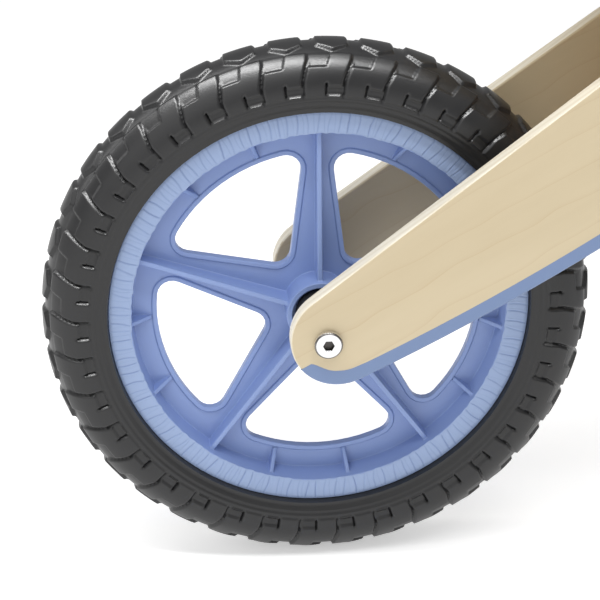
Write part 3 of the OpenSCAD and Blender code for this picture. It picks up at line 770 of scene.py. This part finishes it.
def line_distance(points, corners):
    """Distance from each point to an open line of corners."""
    corners = np.array(corners, float)
    nearest = np.full(points.shape[:-1], np.inf)
    for p, q in zip(corners, corners[1:]):
        edge, to = q - p, points - p
        along = np.clip((to @ edge) / (edge @ edge), 0, 1)
        nearest = np.minimum(nearest, np.linalg.norm(to - along[..., None] * edge, axis=-1))
    return nearest


def signed_distance(points, corners):
    """Distance from each point to a polygon, negative inside it."""
    inside = np.zeros(points.shape[:-1], bool)
    for p, q in zip(corners, corners[1:] + corners[:1]):
        crosses = (p[1] > points[..., 1]) != (q[1] > points[..., 1])
        rise = q[1] - p[1] if q[1] != p[1] else 1e-9
        inside ^= crosses & (points[..., 0] < (q[0] - p[0]) * (points[..., 1] - p[1]) / rise + p[0])
    nearest = line_distance(points, corners + corners[:1])
    return np.where(inside, -nearest, nearest)


def soft_step(distance, reach):
    """1 well inside, 0 well outside, smooth over twice reach."""
    s = np.clip(0.5 - distance / (2 * reach), 0, 1)
    return s * s * (3 - 2 * s)


# outlines on the tile: (round the wheel, out from the crown's middle)
PAD = [(-7.0, 6.3), (1.0, 10.6), (9.0, 6.3), (9.0, -6.3), (1.0, -10.6), (-7.0, -6.3)]
POCKET = [(2.0, 12.0), (4.4, 20.2), (13.8, 20.2), (14.0, 12.0)]
SLANT = [(-9.6, 11.0), (-9.2, 16.0), (-5.3, 28.0), (-5.3, 35.6)]
NOTCH = [(-5.3, 30.6), (4.6, 30.6), (4.6, 35.2), (-5.3, 35.2)]
NOTCH_END = [(4.6, 29.4), (4.6, 35.2)]
POCKET_DEPTH = 1.5
SLANT_DEPTH = 1.5
NOTCH_DEPTH = 1.25
NOTCH_END_DEPTH = 1.9
CROWN_EDGE = 12.4                           # the crown's groove ends here
SIDE_RINGS = ((36.9, 0.55), (39.6, 0.45))   # (place, depth) of the sidewall's fine rings
RING_WIDTH = 0.55


def half_tread(x, v):
    """Depth below the tyre's outer surface, for one side of the crown."""
    depth = np.zeros_like(x)
    pad = np.ones_like(x) * 1e3
    for shift in (-TILE_LENGTH, 0, TILE_LENGTH):
        here = np.stack([x - shift, v], -1)
        pad = np.minimum(pad, signed_distance(here, PAD))
        cuts = (POCKET_DEPTH * soft_step(signed_distance(here, POCKET), 0.4),
                SLANT_DEPTH * soft_step(line_distance(here, SLANT) - 0.75, 0.45),
                NOTCH_DEPTH * soft_step(signed_distance(here, NOTCH), 0.35),
                NOTCH_END_DEPTH * soft_step(line_distance(here, NOTCH_END) - 0.6, 0.4))
        depth = np.maximum.reduce((depth, *cuts))
    crown = GROOVE_DEPTH * soft_step(v - CROWN_EDGE, 0.5) * (1 - soft_step(pad, 0.5))
    depth = np.maximum(depth, crown)
    for ring, deep in SIDE_RINGS:
        depth = np.maximum(depth, deep * np.exp(-((v - ring) / RING_WIDTH) ** 2))
    return depth


section = np.radians(np.linspace(-FOOT_ANGLE, FOOT_ANGLE, 4001))
section_r = SECTION_R + SECTION_TALL * np.cos(section)
section_y = SECTION_WIDE * np.sin(section)
along_section = np.concatenate([[0], np.cumsum(np.hypot(np.diff(section_r), np.diff(section_y)))])
along_section -= np.interp(0, section, along_section)
SECTION_STEPS = 111
v = np.linspace(along_section[0], along_section[-1], SECTION_STEPS)
turn_step = TILE_LENGTH / TILE_STEPS
x = np.arange(TILE_STEPS) * turn_step - TILE_LENGTH / 2
X, V = np.meshgrid(x, v, indexing="ij")
tile = np.where(V >= 0, half_tread(X, np.abs(V)), half_tread(2 * PAD_CENTRE - X, np.abs(V)))
print("tile", round(TILE_LENGTH, 2), "mm long,", tile.shape, "points, deepest",
      round(float(tile.max()), 2), "mm")

# %% [markdown]
# Wrapping works in two moves: each tile point is carried to its place on the
# section, then turned to its place round the axle. Its depth pushes it along
# the section's inward normal. A plain foot closes the ring under the rim.

# %% Wrap the tread into a closed tyre
TREAD_START = 67.9      # where the first tile's middle lies, in degrees
RIM_R = 110.0
RIM_HALF = 14.7
SEAT_R = 104.5          # the foot sits this deep between the rim's flanges
SEAT_HALF = 11.5


def tyre_mesh(name, centre):
    """The whole tyre round centre, as one closed skin."""
    a = np.interp(V, along_section, section)
    r = SECTION_R + SECTION_TALL * np.cos(a)
    y = SECTION_WIDE * np.sin(a)
    nr, ny = np.cos(a) / SECTION_TALL, np.sin(a) / SECTION_WIDE
    size = np.hypot(nr, ny)
    r, y = r - tile * nr / size, y - tile * ny / size
    foot_r = [RIM_R + 0.6, RIM_R, RIM_R, SEAT_R, SEAT_R, RIM_R, RIM_R, RIM_R + 0.6]
    foot_y = [y[0, -1], RIM_HALF, SEAT_HALF, SEAT_HALF, -SEAT_HALF, -SEAT_HALF, -RIM_HALF, y[0, 0]]
    R = np.concatenate([r, np.tile(foot_r, (TILE_STEPS, 1))], 1)
    Y = np.concatenate([y, np.tile(foot_y, (TILE_STEPS, 1))], 1)
    columns = PITCHES * TILE_STEPS
    R, Y = np.tile(R, (PITCHES, 1)), np.tile(Y, (PITCHES, 1))
    angle = np.radians(TREAD_START + (np.arange(columns) / TILE_STEPS - 0.5) * 360 / PITCHES)
    verts = np.stack([centre.x + mm * R * np.cos(angle)[:, None], centre.y - mm * Y,
                      centre.z + mm * R * np.sin(angle)[:, None]], -1).reshape(-1, 3)
    quads = grid_quads(columns, len(v) + len(foot_r), count_closes=True, rows_close=True)
    return drawn(name, verts.tolist(), quads.tolist(), foam)


treaded = []
for wheel, centre in (("rear", rear_axle), ("front", front_axle)):
    tyre = link(f"{wheel}_tyre_treaded", tyre_mesh(f"{wheel}_tyre_treaded", centre))
    treaded.append(finish_piece(tyre, f"{wheel}_wheel", [f"{wheel}_tyre"],
                                crease=70))
    print(tyre.name, len(tyre.data.polygons), "faces")

# %% [markdown]
# Each grip is turned in one pass: a collar, ribs to hold on to, and a ball of
# rubber that guards the end of the bar. A profile of (along, radius) points is
# spun round the bar's axis, which runs straight across the bike.

# %% Ribbed grips
RIB_PITCH = 5.2 * mm
RIB_DEPTH = 1.3 * mm
GRIP_R = 15 * mm
COLLAR_R = 19 * mm
BORE_R = 11 * mm
SPIN_STEPS = 96


def spun(name, profile, centre, side, material):
    """Spin (along, radius) points round the cross axis at centre, growing towards side."""
    verts = []
    for along, radius in profile:
        for k in range(SPIN_STEPS):
            a = 2 * math.pi * k / SPIN_STEPS
            verts.append((centre.x + radius * math.cos(a), centre.y + side * along,
                          centre.z + radius * math.sin(a)))
    quads = grid_quads(len(profile), SPIN_STEPS, rows_close=True)
    faces = (quads if side > 0 else quads[:, ::-1]).tolist()
    for row, flip in ((0, True), (len(profile) - 1, False)):
        ring = [row * SPIN_STEPS + k for k in range(SPIN_STEPS)]
        faces.append(ring[::-1] if flip == (side > 0) else ring)
    return drawn(name, verts, faces, material)


def grip_profile(length):
    """(along, radius) points from the collar to the rounded end."""
    points = [(0, BORE_R + 0.2 * mm), (0, COLLAR_R - 1 * mm), (0.3 * mm, COLLAR_R - 0.3 * mm),
              (1.0 * mm, COLLAR_R), (3.0 * mm, COLLAR_R), (3.7 * mm, COLLAR_R - 0.3 * mm),
              (4.0 * mm, COLLAR_R - 1 * mm), (4.0 * mm, GRIP_R)]
    first, last = 9 * mm, length - 15 * mm
    for along in np.arange(first, last, 0.4 * mm):
        wave = 0.5 - 0.5 * math.cos(2 * math.pi * (along - first) / RIB_PITCH)
        points.append((along, GRIP_R - RIB_DEPTH * wave ** 2))
    points.append((length - 10 * mm, GRIP_R))
    for k in range(0, 19):
        a = math.radians(-90 + 10 * k)
        points.append((length - 5 * mm + 5 * mm * math.sin(a), GRIP_R + 5 * mm * math.cos(a)))
    points.append((length, 1 * mm))
    return points


for side_name, side in (("right", -1), ("left", 1)):
    low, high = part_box("grip_" + side_name)
    start = low[1] if side > 0 else high[1]
    hub = Vector(((low[0] + high[0]) / 2, start, (low[2] + high[2]) / 2))
    mesh = spun(f"grip_{side_name}_ribbed", grip_profile(high[1] - low[1]), hub, side,
                grip_rubber)
    finish_piece(link(mesh.name, mesh), "fork", ["grip_" + side_name])
print("grips", round((high[1] - low[1]) * 1000), "mm long, rib every", RIB_PITCH * 1000, "mm")

# %% [markdown]
# The saddle's cover is a grained imitation leather over foam. Voronoi cells
# make the pebbles of the grain, and their walls the fine creases between them,
# which the colour darkens as painted shade.

# %% Saddle cover and its thread
cover, cover_shader = start_material("saddle_cover", Specular_IOR_Level=0.45)
cover_tree = cover.node_tree
pebble = node(cover_tree, "TexVoronoi", {"feature": "DISTANCE_TO_EDGE"},
              Vector=place(cover_tree), Scale=620).outputs["Distance"]
pebble = node(cover_tree, "MapRange", Value=pebble, i1=0.0, i2=0.14, i3=0.0, i4=1.0).outputs[0]
cover_cloud = noise(cover_tree, place(cover_tree), 26, 4, 0.6)
cover_tint = blend_colours(cover_tree, spread(cover_tree, cover_cloud, 0, 0.6),
                           (0.175, 0.255, 0.520), (0.225, 0.315, 0.585))
# darker towards the cell walls: painted shade in the grain's creases
cover_tint = blend_colours(cover_tree, spread(cover_tree, pebble, 0.35, 0.0), cover_tint,
                           (0.10, 0.155, 0.36))
dress(cover_tree, cover_shader, cover_tint, cover_cloud, (0.42, 0.58), pebble, 0.00025)
thread = black_skin("saddle_thread", (0.62, 0.66, 0.74), (0.50, 0.55, 0.66), (0.6, 0.75),
                    3000, 0.0001, Specular_IOR_Level=0.3)
print("saddle materials:", cover.name, thread.name)

# %% [markdown]
# A padded seat gets its shape from being stuffed: a flat bag of cover, blown
# up by its filling until the cover pulls tight. Cloth simulation does exactly
# that. A slightly slimmer copy of the measured cushion is remeshed evenly,
# inflated for twenty steps without gravity, and the movement is capped so the
# pad can't outgrow its place. Its underside stays flat on the board.

# %% Padded cushion by cloth simulation
PAD_VOXEL = 5 * mm
PAD_CAP = 7 * mm
PAD_SLIM = (0.965, 0.945)    # how slim the bag is before it is filled, along and across
PAD_FLAT = 0.78              # and how flat
pad_low, pad_high = (Vector(corner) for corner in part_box("saddle_cushion"))
pad_middle = (pad_low + pad_high) / 2
pad_mesh = frame["nodes"]["saddle_cushion"].data.copy()
pad_mesh.materials.clear()
pad_mesh.materials.append(cover)
cushion = link("saddle_cushion_padded", pad_mesh)
pad_height = pad_high.z - pad_low.z
for vertex in pad_mesh.vertices:
    at = vertex.co - pad_middle
    vertex.co.x = pad_middle.x + at.x * PAD_SLIM[0]
    vertex.co.y = pad_middle.y + at.y * PAD_SLIM[1]
    if at.z > 0:
        vertex.co.z = pad_low.z + pad_height * PAD_FLAT
print("cushion starts from", len(pad_mesh.vertices), "points")


def apply_modifiers(piece):
    """Bake the piece's modifiers into its mesh."""
    evaluated = piece.evaluated_get(bpy.context.evaluated_depsgraph_get())
    mesh = bpy.data.meshes.new_from_object(evaluated)
    piece.modifiers.clear()
    piece.data = mesh
    return piece


remesh = cushion.modifiers.new("even_cells", "REMESH")
remesh.mode = "VOXEL"
remesh.voxel_size = PAD_VOXEL
apply_modifiers(cushion)
start = np.array([vertex.co[:] for vertex in cushion.data.vertices])
cloth = cushion.modifiers.new("stuffing", "CLOTH").settings
cloth.use_pressure = True
cloth.uniform_pressure_force = 4
cloth.effector_weights.gravity = 0
cloth.quality = 6
for step in range(1, 21):
    bpy.context.scene.frame_set(step)
apply_modifiers(cushion)
bpy.context.scene.frame_set(1)
moved = np.array([vertex.co[:] for vertex in cushion.data.vertices]) - start
reach = np.linalg.norm(moved, axis=1, keepdims=True)
capped = start + moved * np.minimum(1, PAD_CAP / np.maximum(reach, 1e-9))
capped[:, 2] = np.clip(capped[:, 2], pad_low.z + 0.1 * mm, pad_high.z)
capped[:, 0] = np.clip(capped[:, 0], pad_low.x + 1 * mm, pad_high.x - 1 * mm)
for vertex, place_now in zip(cushion.data.vertices, capped):
    vertex.co = place_now
print("cushion moved", round(float(reach.max()) * 1000, 1), "mm at most, capped at",
      PAD_CAP * 1000)

# %% [markdown]
# Two finishing moves make it read as a sewn seat. The pad is crowned a little
# higher behind and along its middle, where a rider sits, and a shallow channel
# follows the seam where the top panel meets the side panel. The seam itself is
# a piping cord, and a row of stitches runs beside it.

# %% Crown, seam channel, piping and stitches
half_length = (pad_high.x - pad_low.x) / 2
seam_z = pad_low.z + 0.60 * pad_height
CHANNEL_DEPTH = 1.2 * mm
CHANNEL_REACH = 2.6 * mm

for vertex in cushion.data.vertices:
    along = (vertex.co.x - pad_middle.x) / half_length
    if vertex.co.z > pad_low.z + 0.5 * pad_height:
        rise = 1 - min(1, along ** 2) * 0.35
        vertex.co.z = pad_low.z + (vertex.co.z - pad_low.z) * (0.90 + 0.10 * rise)
    channel = math.exp(-((vertex.co.z - seam_z) / CHANNEL_REACH) ** 2)
    outward = Vector((vertex.co.x - pad_middle.x, vertex.co.y - pad_middle.y, 0))
    if outward.length > 0.25 * half_length:
        vertex.co -= outward.normalized() * channel * CHANNEL_DEPTH
smooth = cushion.modifiers.new("taut", "SMOOTH")
smooth.factor, smooth.iterations = 0.5, 3
fine = cushion.modifiers.new("fine", "SUBSURF")
fine.levels = fine.render_levels = 1
apply_modifiers(cushion)
pad_points = np.array([vertex.co[:] for vertex in cushion.data.vertices])
finish_piece(cushion, "saddle", ["saddle_cushion"], crease=180)
print("cushion", len(cushion.data.polygons), "faces")


LOOK_STRETCH = 1.6      # the narrow nose needs its directions closer together


def seam_loop(height, inset, count=220):
    """Points round the cushion at a height, found by looking outward in all directions."""
    band = pad_points[np.abs(pad_points[:, 2] - height) < 2.4 * mm]
    angles = np.arctan2((band[:, 1] - pad_middle.y) * LOOK_STRETCH, band[:, 0] - pad_middle.x)
    radii = np.hypot(band[:, 1] - pad_middle.y, band[:, 0] - pad_middle.x)
    out = []
    for k in range(count):
        a = 2 * math.pi * k / count - math.pi
        gap = np.abs((angles - a + math.pi) % (2 * math.pi) - math.pi)
        close = np.argsort(gap)[:6]
        r = np.percentile(radii[close], 80) - inset
        true = math.atan2(math.sin(a) / LOOK_STRETCH, math.cos(a))
        out.append((pad_middle.x + r * math.cos(true), pad_middle.y + r * math.sin(true), height))
    out = np.array(out)
    for _ in range(6):
        out[:, :2] = (np.roll(out, 1, 0) + 2 * out + np.roll(out, -1, 0))[:, :2] / 4
    return out


def tube(name, points, radius, material, closed=True, sides=10):
    """A round cord of mesh through points."""
    points = np.asarray(points)
    nxt, prv = np.roll(points, -1, 0), np.roll(points, 1, 0)
    if not closed:
        nxt[-1], prv[0] = points[-1], points[0]
    tangent = nxt - prv
    tangent /= np.linalg.norm(tangent, axis=1, keepdims=True)
    side = np.cross(tangent, (0, 0, 1.0))
    side /= np.linalg.norm(side, axis=1, keepdims=True)
    up = np.cross(side, tangent)
    verts = []
    for p, s, u in zip(points, side, up):
        for k in range(sides):
            a = 2 * math.pi * k / sides
            verts.append(tuple(p + radius * (math.cos(a) * s + math.sin(a) * u)))
    count = len(points)
    faces = grid_quads(count, sides, closed, rows_close=True)[:, OTHER_WAY].tolist()
    if not closed:
        faces.append([k for k in range(sides)])
        faces.append([(count - 1) * sides + k for k in range(sides)][::-1])
    return link(name, drawn(name, verts, faces, material))


piping = tube("saddle_piping", seam_loop(seam_z, 0.4 * mm), 1.5 * mm, cover)
finish_piece(piping, "saddle", [])
STITCH_POINTS = 440
STITCH_EVERY = 4        # a stitch takes two steps and leaves a gap of two
STITCH_R = 0.35 * mm
stitch_line = seam_loop(seam_z + 5.2 * mm, 0.1 * mm, STITCH_POINTS)
stitches = bmesh.new()
for k in range(0, STITCH_POINTS, STITCH_EVERY):
    ends = stitch_line[[k, (k + 1) % STITCH_POINTS, (k + 2) % STITCH_POINTS]]
    part = tube("stitch", ends, STITCH_R, thread, closed=False, sides=6)
    stitches.from_mesh(part.data)
    bpy.data.objects.remove(part)
stitch_mesh = bpy.data.meshes.new("saddle_stitches")
stitches.to_mesh(stitch_mesh)
stitches.free()
stitch_mesh.materials.append(thread)
finish_piece(link("saddle_stitches", stitch_mesh), "saddle", [])
print("piping and stitches follow the cushion at", round(seam_z * 1000), "mm")

# %% [markdown]
# The studio is plain: a pale floor that runs out of sight and meets a pale
# sky, so no horizon shows. A large soft box high on the viewer's left makes
# the wood glow and leaves the inner faces in shade. A narrow strip over the
# wheel lights the plates' upper edges and the tops of the ribs, and one at the
# left lights the tyre's flank. Black foam needs far more light than wood to
# shine, so a second strip overhead is linked to the tyres alone.

# %% Floor, sky and lamps
bpy.ops.mesh.primitive_grid_add(x_subdivisions=8, y_subdivisions=8, size=14, location=(0, 0, 0))
floor = bpy.context.object
floor.name = "studio_floor"
paper = start_material("studio_paper", Base_Color=(0.94, 0.94, 0.94, 1), Roughness=0.9,
                       Specular_IOR_Level=0.1, Emission_Color=(1, 1, 1, 1),
                       Emission_Strength=0.42)[0]
floor.data.materials.append(paper)
world = bpy.data.worlds.new("studio_sky")
bpy.context.scene.world = world
world.use_nodes = True
world.node_tree.nodes["Background"].inputs["Color"].default_value = (1, 1, 1, 1)
world.node_tree.nodes["Background"].inputs["Strength"].default_value = 0.42


def soft_box(name, away, size, power):
    """A rectangular lamp, away metres from the rear axle and aimed at it."""
    data = bpy.data.lights.new(name, "AREA")
    data.shape = "RECTANGLE"
    data.size, data.size_y = size
    data.energy = power
    lamp = bpy.data.objects.new(name, data)
    lamp.location = rear_axle + Vector(away)
    lamp.rotation_euler = (-Vector(away)).to_track_quat("-Z", "Y").to_euler()
    bpy.context.scene.collection.objects.link(lamp)
    return lamp


soft_box("key_box", (-1.2, -2.2, 1.3), (2.4, 2.4), 15)
soft_box("overhead_strip", (-0.15, -0.45, 1.25), (2.0, 0.13), 13)
soft_box("left_strip", (-1.15, 0.25, 0.75), (0.25, 1.2), 4.5)
tread_strip = soft_box("tread_strip", (-0.25, -0.40, 1.25), (1.3, 0.26), 32)
tyres_only = bpy.data.collections.new("tyres_only")
for piece in treaded:
    tyres_only.objects.link(piece)
tread_strip.light_linking.receiver_collection = tyres_only
bpy.context.scene.view_settings.view_transform = "Standard"
print("studio lit")
